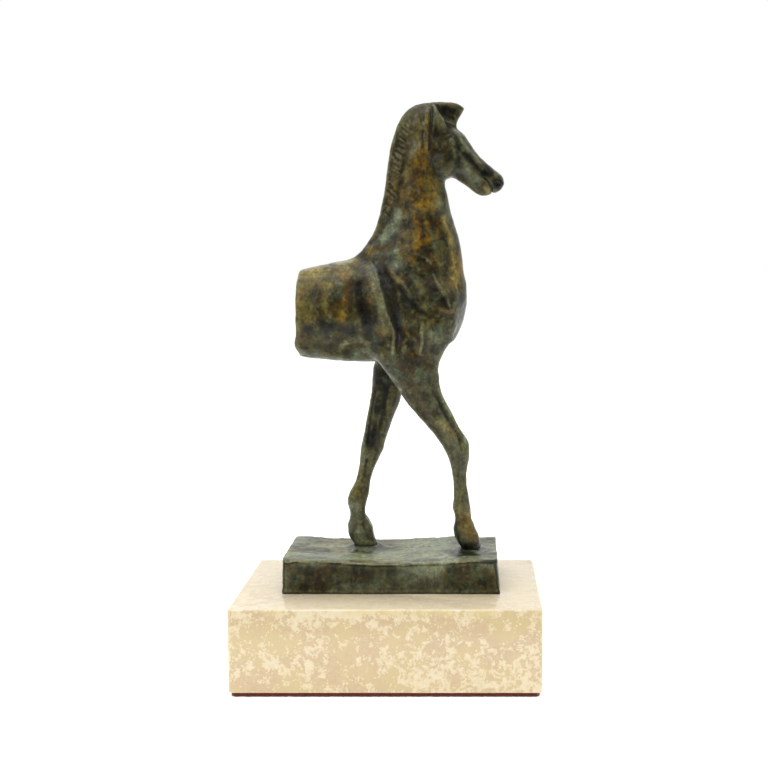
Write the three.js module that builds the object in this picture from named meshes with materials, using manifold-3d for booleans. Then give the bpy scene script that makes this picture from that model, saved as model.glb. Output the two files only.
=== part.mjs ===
// A bronze statuette: the forehand of a walking horse, cut off behind the
// shoulder, on a small bronze plinth that is bolted to a block of cream
// limestone with felt under it.
//
// Millimetres. X runs along the horse, towards its muzzle, Y towards its left
// side, and Z up. The origin is on the table, under the middle of the block.
import * as THREE from "three";
import { mergeVertices } from "three/addons/utils/BufferGeometryUtils.js";
import Module from "manifold-3d";

const wasm = await Module();
wasm.setup();

// ---------------------------------------------------------------- dimensions

const FELT = { inset: 0.7, thick: 1.5 };
const STONE = { width: 110, depth: 73, height: 30, arris: 0.5 };
const PLINTH = {
  x: 0.9, // its middle, on the block
  y: 4.2,
  width: 79.6, // at the foot
  depth: 41,
  height: 12.5,
  dip: 1.1, // how far the top sags at the middle of its length
  wall: 3.2,
};
// How far each side leans in at the top.
const LEAN = { left: 0.1, right: 1.2, front: 0.4, back: 0.5 };
const STONE_TOP = FELT.thick + STONE.height;
// Heights in the bronzes are drawn for a block whose top is here. Their group
// is then moved to the block's real top.
const DRAWN_TOP = 31;
const PLINTH_TOP = DRAWN_TOP + PLINTH.height;
const TRAY_TOP = PLINTH_TOP - 3.7; // ceiling of the hollow under the plinth

// The soles stand on low pads that are cast with the plinth.
const PAD = { top: PLINTH_TOP + 0.5, radius: 5, spread: 7.5 };
const RIGHT_HOOF = {
  sole: { x: 30.4, half: 3.5 },
  coronet: { x: 27.5, z: 51.5, half: 4.4 },
  swell: { rear: 0.9, front: 0.6 },
  y: -2.7,
  screwX: 29.1,
};
const LEFT_HOOF = {
  sole: { x: -9.6, half: 4.5 },
  coronet: { x: -12.1, z: 51.3, half: 4.8 },
  swell: { rear: 1.1, front: -0.8 },
  y: 4.1,
  screwX: -10.5,
};

// Two M5 screws come up through the block, on a diagonal of the plinth.
const BASE_SCREW = {
  x: 27,
  y: 11,
  radius: 2.5,
  length: 30,
  headRadius: 4.25,
  headHeight: 5,
  socket: 2,
  socketDepth: 2.6,
};
const SPRING_WASHER = { inner: 2.75, outer: 4.6, thick: 1.2, split: 0.8 };
const FLAT_WASHER = { inner: 2.75, outer: 7.2, thick: 1.2 };
const COUNTERBORE = { radius: 8, depth: 10 };
const BOSS_RADIUS = 5.2;

// Two M3 screws come up through the plinth, one into each hoof.
const HOOF_SCREW = {
  radius: 1.5,
  length: 8,
  headRadius: 2.75,
  headHeight: 2,
  slot: 0.8,
  slotDepth: 1,
};
const CLEARANCE = 0.3; // round every screw
const CAST_WALL = 2.8; // of the hollow body
const MANE = { thick: 3.6, bevel: 0.7 };

// ------------------------------------------------------------------- finishes

const bronze = new THREE.MeshStandardMaterial({
  name: "patinated_bronze",
  color: 0x4a4630,
  roughness: 0.45,
  metalness: 0.7,
});
const limestone = new THREE.MeshStandardMaterial({
  name: "cream_limestone",
  color: 0xe6d0a6,
  roughness: 0.25,
  metalness: 0,
});
const felt = new THREE.MeshStandardMaterial({
  name: "red_felt",
  color: 0x5a1812,
  roughness: 1,
  metalness: 0,
});
const steel = new THREE.MeshStandardMaterial({
  name: "zinc_steel",
  color: 0xb4b6ba,
  roughness: 0.35,
  metalness: 1,
});

// -------------------------------------------------------------------- helpers

// A three.js geometry as a solid that can be joined and cut.
function solid(geometry) {
  const bare = geometry.index ? geometry.toNonIndexed() : geometry.clone();
  bare.deleteAttribute("normal");
  bare.deleteAttribute("uv");
  const merged = mergeVertices(bare, 1e-4);
  return new wasm.Manifold(
    new wasm.Mesh({
      numProp: 3,
      vertProperties: new Float32Array(merged.attributes.position.array),
      triVerts: new Uint32Array(merged.index.array),
    }),
  );
}

// A solid as a named mesh.
function meshOf(name, shape, material) {
  const raw = shape.getMesh();
  const geometry = new THREE.BufferGeometry();
  const positions = new THREE.BufferAttribute(raw.vertProperties, 3);
  geometry.setAttribute("position", positions);
  geometry.setIndex(new THREE.BufferAttribute(raw.triVerts, 1));
  geometry.computeVertexNormals();
  const mesh = new THREE.Mesh(geometry, material);
  mesh.name = name;
  return mesh;
}

// An upright round bar from z0 to z1.
function bar(radius, z0, z1, x = 0, y = 0, sides = 24) {
  const geometry = new THREE.CylinderGeometry(radius, radius, z1 - z0, sides);
  geometry.rotateX(Math.PI / 2);
  geometry.translate(x, y, (z0 + z1) / 2);
  return solid(geometry);
}

function block(sizeX, sizeY, z0, z1, x = 0, y = 0) {
  const geometry = new THREE.BoxGeometry(sizeX, sizeY, z1 - z0);
  geometry.translate(x, y, (z0 + z1) / 2);
  return solid(geometry);
}

const ALONG = new THREE.Vector3(1, 0, 0);
const UPRIGHT = new THREE.Vector3(0, 0, 1);

// A closed skin through oval sections. Each station is
//   [x, z, y, across, wide, egg]
// where across is half the section's size in the XZ plane, wide is half its
// width along Y, and egg makes it wider at the far end of `facing`, which is
// the direction `across` is measured in. Without it, sections stand square to
// the path. A path runs forwards or downwards.
function limb(stations, around, facing, stepsPerStation = 2) {
  const centres = new THREE.CatmullRomCurve3(
    stations.map(([x, z, y]) => new THREE.Vector3(x, y, z)),
    false,
    "catmullrom",
  );
  const sizes = new THREE.CatmullRomCurve3(
    stations.map(([, , , across, wide, egg = 0]) => {
      return new THREE.Vector3(across, wide, egg);
    }),
    false,
    "catmullrom",
  );
  const rings = (stations.length - 1) * stepsPerStation;
  const geometry = new THREE.CylinderGeometry(1, 1, 1, around, rings);
  const positions = geometry.attributes.position;
  const unit = new THREE.Vector3();
  for (let i = 0; i < positions.count; i++) {
    unit.fromBufferAttribute(positions, i);
    const t = 0.5 - unit.y;
    const centre = centres.getPoint(t);
    const { x: across, y: wide, z: egg } = sizes.getPoint(t);
    const tangent = centres.getTangent(t);
    const square = new THREE.Vector3(-tangent.z, 0, tangent.x).normalize();
    centre.addScaledVector(facing ?? square, across * unit.z);
    const shift = wide * unit.x * (1 + egg * unit.z);
    positions.setXYZ(i, centre.x, centre.y + shift, centre.z);
  }
  return solid(geometry);
}

// A muscle or an eye: a ball with three radii.
function ball(x, y, z, radiusX, radiusY, radiusZ, around = 14) {
  const geometry = new THREE.SphereGeometry(1, around, Math.round(around / 2));
  geometry.scale(radiusX, radiusY, radiusZ);
  geometry.translate(x, y, z);
  return solid(geometry);
}

// A flat plate cut to an outline in the XZ plane, centred on Y, with its edges
// eased by `bevel`.
function plate(outline, thickness, bevel) {
  const depth = thickness - 2 * bevel;
  const geometry = new THREE.ExtrudeGeometry(outline, {
    depth,
    bevelThickness: bevel,
    bevelSize: bevel,
    bevelOffset: -bevel,
    bevelSegments: 1,
    curveSegments: 2,
  });
  geometry.rotateX(Math.PI / 2);
  geometry.translate(0, depth / 2, 0);
  return solid(geometry);
}

function joined(parts) {
  return parts.reduce((whole, part) => whole.add(part));
}

// ---------------------------------------------------------------------- horse

// The body, from the cut behind the girth to the point of the breast. Its
// sections stand upright, and it is wider above.
const TRUNK = [
  [-33.7, 132.2, 0, 15.4, 12.6, 0.05],
  [-32.6, 132.2, 0, 16.3, 13.2, 0.05],
  [-25, 132.6, 0, 17.7, 13.6, 0.05],
  [-15, 133.1, 0, 19.1, 13.9, 0.03],
  [-5, 133.8, 0, 19.9, 13.9, 0],
  [5, 134.2, 0, 20.4, 13.6, 0],
  [14, 135.5, 0, 18.6, 12.8, 0],
  [20.8, 137, 0, 15.4, 11.4, 0],
  [25.6, 138.2, 0, 11.4, 8.8, 0],
  [28.4, 139.2, 0, 4.8, 4.2, 0],
];

// The neck, from the poll down to inside the shoulders. Its sections lie level,
// and it is wider in front.
const NECK = [
  [14.4, 203, 0, 6.2, 3.6, 0],
  [12.0, 196, 0, 9.0, 5.3, 0],
  [10.6, 188, 0, 9.8, 5.9, 0.1],
  [10.0, 180, 0, 10.6, 6.4, 0.2],
  [10.0, 173, 0, 12.0, 7.1, 0.25],
  [10.1, 166, 0, 13.6, 8.0, 0.25],
  [9.4, 160, 0, 16.3, 9.0, 0.22],
  [8.1, 155, 0, 18.5, 10.0, 0.18],
  [6.8, 149, 0, 20.6, 11.4, 0.1],
  [5.4, 143, 0, 22.3, 12.4, 0.05],
  [4, 136, 0, 22.5, 12.6, 0],
];

// The head, from the poll to the muzzle.
const HEAD = [
  [15.5, 199.5, 0, 5.0, 4.4, 0],
  [18.6, 195.4, 0, 7.4, 5.8, 0],
  [21.9, 191.8, 0, 8.1, 6.3, 0],
  [25.4, 188.5, 0, 7.2, 5.9, 0.08],
  [29.4, 185.5, 0, 5.8, 4.7, 0.12],
  [33.4, 183.1, 0, 4.8, 3.9, 0.05],
  [37.0, 180.8, 0, 4.3, 3.8, 0],
  [39.8, 179.0, 0, 3.7, 3.7, 0],
  [41.5, 177.8, 0, 1.6, 1.9, 0],
];

// The lower jaw and the chin.
const CHIN = [
  [27.0, 184.2, 0, 4.4, 3.2, 0],
  [31.0, 180.6, 0, 3.4, 3.0, 0],
  [34.0, 177.4, 0, 2.9, 2.9, 0],
  [36.2, 176.1, 0, 1.8, 2.4, 0],
  [37.1, 175.6, 0, 0.6, 1.0, 0],
];

// The leading leg, from the shoulder blade to the coronet, in level sections.
const RIGHT_LEG = [
  [2.5, 152, -6.2, 5.0, 2.6],
  [5.6, 147.5, -7.6, 10.4, 4.2],
  [11.4, 142, -8.6, 12.9, 5.2],
  [12.9, 135, -9.2, 13.0, 5.7],
  [13.2, 127, -9.2, 10.6, 5.8],
  [6.8, 119, -8.2, 12.8, 5.9],
  [7.9, 112, -7.4, 10.5, 5.6],
  [10.0, 106, -6.8, 8.0, 5.2],
  [13.2, 100.2, -6.1, 7.4, 4.7],
  [16.6, 95, -5.7, 6.7, 4.2],
  [20.0, 90, -5.4, 5.8, 3.8],
  [23.6, 85, -5.0, 5.5, 3.6],
  [25.2, 80.5, -4.7, 4.4, 3.4],
  [25.6, 76, -4.4, 3.3, 2.9],
  [25.9, 69, -3.9, 2.6, 2.5],
  [26.3, 63.5, -3.6, 3.1, 2.8],
  [26.5, 59.4, -3.3, 3.6, 3.2],
  [27.1, 55.6, -3.0, 3.2, 2.9],
  [27.5, 51.3, -2.7, 4.4, 3.7],
];

// The trailing leg.
const LEFT_LEG = [
  [2.5, 152, 6.2, 5.0, 2.6],
  [5.6, 147.5, 7.6, 10.4, 4.2],
  [11.4, 142, 8.6, 12.9, 5.2],
  [12.5, 135, 9.2, 12.6, 5.7],
  [11.4, 127, 9.2, 11.0, 5.8],
  [6.8, 119, 8.5, 10.8, 5.9],
  [2.0, 112, 7.6, 9.2, 5.6],
  [-1.0, 105, 7.0, 6.3, 5.0],
  [-2.6, 98.7, 6.8, 5.7, 4.5],
  [-4.4, 92.5, 6.5, 5.0, 4.0],
  [-6.3, 85.5, 6.1, 4.6, 3.7],
  [-7.6, 80.2, 5.8, 4.3, 3.5],
  [-9.5, 73.7, 5.4, 3.1, 2.8],
  [-10.9, 68.6, 5.1, 2.9, 2.6],
  [-12.4, 64.2, 4.9, 3.8, 3.0],
  [-13.4, 60, 4.7, 3.8, 3.2],
  [-13.0, 55.6, 4.4, 3.0, 2.9],
  [-12.1, 51.1, 4.1, 4.8, 3.8],
];

// A hoof, from the coronet down to a flat sole. Halfway down it is fuller by
// `swell`.
function hoof({ sole, coronet, swell, y }) {
  const height = coronet.z - PAD.top;
  const geometry = new THREE.CylinderGeometry(1, 1, height, 20, 5);
  geometry.rotateX(Math.PI / 2);
  const positions = geometry.attributes.position;
  for (let i = 0; i < positions.count; i++) {
    const up = positions.getZ(i) / height + 0.5;
    const middle = THREE.MathUtils.lerp(sole.x, coronet.x, up);
    const half = THREE.MathUtils.lerp(sole.half, coronet.half, up);
    const wide = THREE.MathUtils.lerp(4.1, 3.8, up);
    const along = positions.getX(i);
    const more = along > 0 ? swell.front : swell.rear;
    positions.setXYZ(
      i,
      middle + (half + more * Math.sin(Math.PI * up)) * along,
      y + wide * positions.getY(i),
      PAD.top + up * height,
    );
  }
  return solid(geometry);
}

// The roached mane: its outer edge runs from the withers over the poll to the
// tip of the forelock, and its inner edge comes back inside the neck.
function crestOutline() {
  const outer = [
    [-14.2, 152.8],
    [-10.8, 155.2],
    [-7.2, 159.6],
    [-4.6, 165],
    [-2.8, 173],
    [-1.2, 181.5],
    [0.2, 191.5],
    [1.7, 196.9],
    [3.6, 202.0],
    [6.8, 206.2],
    [10.7, 208.5],
    [19.1, 209.3],
    [24.6, 208.8],
    [27.9, 206.9],
  ].map(([x, z]) => new THREE.Vector2(x, z));
  const outline = new THREE.Shape();
  outline.moveTo(outer[0].x, outer[0].y);
  outline.splineThru(outer.slice(1));
  outline.lineTo(26.6, 204.9);
  outline.lineTo(24.9, 202.3);
  outline.lineTo(24.6, 199.8);
  outline.lineTo(19, 198);
  outline.lineTo(11, 200);
  outline.lineTo(7, 190);
  outline.lineTo(5, 176);
  outline.lineTo(3, 163);
  outline.lineTo(-2, 154);
  outline.lineTo(-9, 148);
  return outline;
}

// A pricked ear, laid close against the mane.
function ear(side) {
  return limb(
    [
      [16.5, 207.9, 3.4 * side, 0.5, 0.5],
      [17.4, 204.2, 4.1 * side, 1.9, 1.4],
      [18.4, 200.5, 4.5 * side, 2.9, 1.8],
      [18.9, 197, 4.2 * side, 3.1, 1.9],
    ],
    12,
    ALONG,
  );
}

// The core's space, which stays open at the cut.
function coreSpace() {
  const stations = TRUNK.slice(1, 7).map(([x, z, y, across, wide, egg]) => {
    return [x, z, y, across - CAST_WALL, wide - CAST_WALL, egg];
  });
  const [x, z, y, across, wide, egg] = stations[0];
  stations.unshift([x - 4, z, y, across, wide, egg]);
  stations.push([19, 137, 0, 10, 7, 0]);
  stations.push([22, 138, 0, 4, 3, 0]);
  return limb(stations, 24, UPRIGHT);
}

function horseFigure() {
  const sides = [1, -1];
  const figure = joined([
    limb(TRUNK, 28, UPRIGHT),
    limb(NECK, 24, ALONG),
    limb(HEAD, 20),
    limb(CHIN, 14),
    limb(RIGHT_LEG, 18, ALONG),
    limb(LEFT_LEG, 18, ALONG),
    hoof(RIGHT_HOOF),
    hoof(LEFT_HOOF),
    plate(crestOutline(), MANE.thick, MANE.bevel),
    ...sides.map(ear),
    ...sides.map((side) => ball(20.4, 2.7 * side, 187, 5.6, 3.9, 6.1, 16)),
    ...sides.map((side) => ball(23.2, 5.5 * side, 194.3, 1.5, 1.1, 1.1, 10)),
  ]);
  const screwTop = TRAY_TOP + HOOF_SCREW.length + CLEARANCE;
  const taps = [RIGHT_HOOF, LEFT_HOOF].map(({ screwX, y }) => {
    const radius = HOOF_SCREW.radius + CLEARANCE;
    return bar(radius, PAD.top - 1, screwTop, screwX, y, 16);
  });
  return figure.subtract(coreSpace()).subtract(joined(taps));
}

// --------------------------------------------------------------------- plinth

// The outside: a hand-cut slab, not quite square, with a sagging top.
function plinthBody() {
  const { width, depth, height, dip } = PLINTH;
  const geometry = new THREE.BoxGeometry(width, depth, height, 16, 6, 1);
  const positions = geometry.attributes.position;
  for (let i = 0; i < positions.count; i++) {
    const up = positions.getZ(i) / height + 0.5;
    const alongX = (2 * positions.getX(i)) / width;
    const alongY = (2 * positions.getY(i)) / depth;
    const leanX = alongX > 0 ? LEAN.right : LEAN.left;
    const leanY = alongY > 0 ? LEAN.back : LEAN.front;
    const x = alongX * (width / 2 - leanX * up);
    const y = alongY * (depth / 2 - leanY * up);
    const sag = dip * up * Math.cos((Math.PI / 2) * alongX) ** 2;
    positions.setXYZ(i, x, y, DRAWN_TOP + up * height - sag);
  }
  return solid(geometry);
}

function pad({ sole, y }) {
  const bottom = TRAY_TOP + 1;
  const height = PAD.top - bottom;
  const { radius, spread } = PAD;
  const geometry = new THREE.CylinderGeometry(radius, spread, height, 28);
  geometry.rotateX(Math.PI / 2);
  geometry.translate(sole.x - PLINTH.x, y, bottom + height / 2);
  return solid(geometry);
}

// Open underneath, with a boss for each of the screws through the block.
function bronzePlinth() {
  const { width, depth, wall } = PLINTH;
  const across = width - 2 * wall;
  const tray = block(across, depth - 2 * wall, DRAWN_TOP - 1, TRAY_TOP);
  const feet = [RIGHT_HOOF, LEFT_HOOF];
  const bosses = [1, -1].map((end) => {
    const { x, y } = BASE_SCREW;
    return bar(BOSS_RADIUS, DRAWN_TOP, TRAY_TOP + 1, end * x, end * y);
  });
  const tapped = [1, -1].map((end) => {
    const { radius, x, y } = BASE_SCREW;
    const top = PLINTH_TOP - 2.2;
    return bar(radius + CLEARANCE, DRAWN_TOP - 1, top, end * x, end * y, 20);
  });
  const drilled = feet.map(({ screwX, y }) => {
    const radius = HOOF_SCREW.radius + CLEARANCE;
    const x = screwX - PLINTH.x;
    return bar(radius, TRAY_TOP - 1, PAD.top + 1, x, y, 16);
  });
  return joined([plinthBody(), ...feet.map(pad)])
    .subtract(tray)
    .add(joined(bosses))
    .subtract(joined([...tapped, ...drilled]));
}

// ------------------------------------------------------------- block and felt

// A rectangle with its corners cut off by `corner`.
function slabOutline(width, depth, corner) {
  const [x, y] = [width / 2, depth / 2];
  const outline = new THREE.Shape();
  outline.moveTo(-x + corner, -y);
  outline.lineTo(x - corner, -y);
  outline.lineTo(x, -y + corner);
  outline.lineTo(x, y - corner);
  outline.lineTo(x - corner, y);
  outline.lineTo(-x + corner, y);
  outline.lineTo(-x, y - corner);
  outline.lineTo(-x, -y + corner);
  outline.closePath();
  return outline;
}

function screwPlace(end) {
  const x = PLINTH.x + end * BASE_SCREW.x;
  const y = PLINTH.y + end * BASE_SCREW.y;
  return { x, y };
}

function stoneBase() {
  const { width, depth, height, arris } = STONE;
  const geometry = new THREE.ExtrudeGeometry(
    slabOutline(width - 2 * arris, depth - 2 * arris, arris),
    {
      depth: height - 2 * arris,
      bevelThickness: arris,
      bevelSize: arris,
      bevelSegments: 1,
    },
  );
  geometry.translate(0, 0, FELT.thick + arris);
  const holes = [1, -1].flatMap((end) => {
    const { x, y } = screwPlace(end);
    const through = BASE_SCREW.radius + 0.5;
    const ceiling = FELT.thick + COUNTERBORE.depth;
    return [
      bar(through, FELT.thick - 1, STONE_TOP + 1, x, y),
      bar(COUNTERBORE.radius, FELT.thick - 1, ceiling, x, y, 32),
    ];
  });
  return solid(geometry).subtract(joined(holes));
}

function feltPad() {
  const width = STONE.width - 2 * FELT.inset;
  const depth = STONE.depth - 2 * FELT.inset;
  const geometry = new THREE.ExtrudeGeometry(slabOutline(width, depth, 1.5), {
    depth: FELT.thick,
    bevelEnabled: false,
  });
  return solid(geometry);
}

// ------------------------------------------------------------------ fasteners

// Each is made at x = 0, y = 0 and at its own height.
const WASHER_TOP = FELT.thick + COUNTERBORE.depth;
const SPRING_TOP = WASHER_TOP - FLAT_WASHER.thick;
const HEAD_TOP = SPRING_TOP - SPRING_WASHER.thick;

function ring({ inner, outer, thick }, top) {
  const tube = bar(outer, top - thick, top, 0, 0, 32);
  return tube.subtract(bar(inner, top - thick - 1, top + 1));
}

// A split ring: a flat washer with a slot sawn through one side.
function springWasher() {
  const { outer, split } = SPRING_WASHER;
  const saw = block(outer + 1, split, HEAD_TOP - 3, SPRING_TOP + 3, outer / 2);
  return ring(SPRING_WASHER, SPRING_TOP).subtract(saw);
}

// A socket-head cap screw, its head down.
function baseScrew() {
  const { radius, length, headRadius, headHeight } = BASE_SCREW;
  const foot = HEAD_TOP - headHeight;
  const socket = bar(
    BASE_SCREW.socket,
    foot - 1,
    foot + BASE_SCREW.socketDepth,
    0,
    0,
    6,
  );
  return bar(headRadius, foot, HEAD_TOP)
    .add(bar(radius, HEAD_TOP - 1, HEAD_TOP + length, 0, 0, 20))
    .subtract(socket);
}

// A slotted cheese-head screw, its head down.
function hoofScrew() {
  const { radius, length, headRadius, headHeight } = HOOF_SCREW;
  const foot = TRAY_TOP - headHeight;
  const slotTop = foot + HOOF_SCREW.slotDepth;
  const slot = block(2 * headRadius + 2, HOOF_SCREW.slot, foot - 1, slotTop);
  return bar(headRadius, foot, TRAY_TOP)
    .add(bar(radius, TRAY_TOP - 1, TRAY_TOP + length, 0, 0, 16))
    .subtract(slot);
}

// ------------------------------------------------------------------- assembly

const statuette = new THREE.Group();
statuette.name = "statuette";

statuette.add(meshOf("felt_pad", feltPad(), felt));
statuette.add(meshOf("stone_base", stoneBase(), limestone));

const bronzes = new THREE.Group();
bronzes.position.set(0, PLINTH.y, STONE_TOP - DRAWN_TOP);
statuette.add(bronzes);

const plinth = meshOf("bronze_plinth", bronzePlinth(), bronze);
plinth.position.x = PLINTH.x;
bronzes.add(plinth);
bronzes.add(meshOf("horse_figure", horseFigure(), bronze));

const HOOVES = { right: RIGHT_HOOF, left: LEFT_HOOF };
for (const [side, { screwX, y }] of Object.entries(HOOVES)) {
  const screw = meshOf(side + "_hoof_screw", hoofScrew(), steel);
  screw.position.set(screwX, y, 0);
  bronzes.add(screw);
}

const ENDS = { front: 1, rear: -1 };
for (const [place, end] of Object.entries(ENDS)) {
  const stack = new THREE.Group();
  const { x, y } = screwPlace(end);
  stack.position.set(x, y, 0);
  stack.add(meshOf(place + "_base_screw", baseScrew(), steel));
  stack.add(meshOf(place + "_spring_washer", springWasher(), steel));
  stack.add(meshOf(place + "_flat_washer", ring(FLAT_WASHER, WASHER_TOP), steel));
  statuette.add(stack);
}

export default statuette;
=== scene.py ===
"""A bronze statuette of the forehand of a walking horse, on a bronze plinth
that is bolted to a polished limestone block.

The horse and the plinth are carved from the frame's own solids: each is
rebuilt as an even skin, smoothed, and then worked with strokes that are drawn
on its side. Lengths inside Skin are in millimetres; Blender's are in metres.
"""

import math

import bmesh
import bpy
import numpy as np
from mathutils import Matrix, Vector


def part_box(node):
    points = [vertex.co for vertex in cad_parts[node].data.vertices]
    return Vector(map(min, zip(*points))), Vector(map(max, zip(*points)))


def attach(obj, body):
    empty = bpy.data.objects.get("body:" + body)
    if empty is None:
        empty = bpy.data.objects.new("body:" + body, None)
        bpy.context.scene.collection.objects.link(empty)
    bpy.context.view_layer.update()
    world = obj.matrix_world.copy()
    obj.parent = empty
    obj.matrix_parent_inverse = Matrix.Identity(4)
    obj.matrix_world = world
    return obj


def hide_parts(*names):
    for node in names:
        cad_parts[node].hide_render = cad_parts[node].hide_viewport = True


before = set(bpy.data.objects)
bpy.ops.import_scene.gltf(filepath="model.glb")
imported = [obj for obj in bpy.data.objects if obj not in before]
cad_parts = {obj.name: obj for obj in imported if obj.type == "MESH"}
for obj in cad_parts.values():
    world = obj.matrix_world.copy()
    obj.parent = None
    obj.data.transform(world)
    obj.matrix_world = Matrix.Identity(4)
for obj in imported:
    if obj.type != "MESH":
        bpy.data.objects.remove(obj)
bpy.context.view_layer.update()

MM = 0.001
# Strokes are drawn in millimetres from here: 209.3 below the top of the poll.
ORIGIN = np.array([0, 0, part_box("horse_figure")[1][2] / MM - 209.3])


def size_of(node):
    """A CAD node's lowest and highest corner in millimetres, from ORIGIN."""
    low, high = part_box(node)
    return np.array(low) / MM - ORIGIN, np.array(high) / MM - ORIGIN


HORSE_LOW, HORSE_HIGH = size_of("horse_figure")
PLINTH_LOW, PLINTH_HIGH = size_of("bronze_plinth")
MIDDLE_Y = (HORSE_LOW[1] + HORSE_HIGH[1]) / 2
STONE_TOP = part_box("stone_base")[1][2] / MM  # from the ground
BARREL_Z = 132.6  # the height of the barrel's middle
HOLLOW_Y, HOLLOW_Z = 11.2, 15.2  # half sizes of the hollow inside the body
LEGS_TOP = 112
PASTERNS = ((27.4, 1.5), (-12.1, 8.3))  # x and y over each hoof, leading leg first
# where each sole stands: the x and y of its middle, and half its length
SOLES = ((30.4, 1.5, 5.2), (-9.8, 8.3, 6.0))
SOLE_HALF_WIDTH = 5
TOE_SHADES = ((32, -2.5), (-7, 4.5))  # where painted shade falls in front of each hoof


# ---------------------------------------------------------------- plain maths


def smooth_step(x):
    """0 below 0 and 1 above 1, with an eased rise between them."""
    x = np.clip(x, 0, 1)
    return x * x * (3 - 2 * x)


def curve(points, steps=7):
    """A smooth line through a few points, as a dense one."""
    p = np.array(points, float)
    p = np.vstack([2 * p[0] - p[1], p, 2 * p[-1] - p[-2]])
    t = np.linspace(0, 1, steps, endpoint=False)[:, None]
    spans = [
        0.5
        * (
            2 * b
            + (c - a) * t
            + (2 * a - 5 * b + 4 * c - d) * t**2
            + (3 * b - a - 3 * c + d) * t**3
        )
        for a, b, c, d in zip(p, p[1:], p[2:], p[3:])
    ]
    return np.vstack([*spans, p[-2]])


def lattice(cell, seed):
    """A fixed value from -1 to 1 for each cell of a grid."""
    x, y, z = cell.T
    key = (x * 73856093) ^ (y * 19349663) ^ (z * 83492791) ^ (seed * 26544357)
    key = ((key ^ (key >> 13)) * 1274126177) & 0x7FFFFFFF
    return ((key ^ (key >> 16)) & 0xFFFF) / 32767.5 - 1


def noise(points, size, seed):
    """Smooth noise from -1 to 1, whose lumps are about `size` across."""
    p = np.asarray(points) / size
    cell = np.floor(p).astype(np.int64)
    part = smooth_step(p - cell)
    total = np.zeros(len(p))
    for corner in np.ndindex(2, 2, 2):
        weight = np.prod(np.where(corner, part, 1 - part), axis=1)
        total += weight * lattice(cell + np.array(corner), seed)
    return total


# ----------------------------------------------------------------- mesh tools


def copy_of(node, name):
    """A new piece with a CAD node's shape, which stands for that node."""
    piece = bpy.data.objects.new(name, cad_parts[node].data.copy())
    bpy.context.scene.collection.objects.link(piece)
    piece.data.materials.clear()
    work = bmesh.new()
    work.from_mesh(piece.data)
    bmesh.ops.remove_doubles(work, verts=work.verts, dist=0.001 * MM)
    work.to_mesh(piece.data)
    work.free()
    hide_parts(node)
    return piece


def apply_modifiers(piece):
    graph = bpy.context.evaluated_depsgraph_get()
    mesh = bpy.data.meshes.new_from_object(piece.evaluated_get(graph))
    piece.modifiers.clear()
    piece.data = mesh


def rebuild_evenly(piece, spacing):
    """Gives a closed piece an even skin of small squares."""
    step = piece.modifiers.new("even", "REMESH")
    step.mode = "VOXEL"
    step.voxel_size = spacing * MM
    apply_modifiers(piece)


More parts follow.
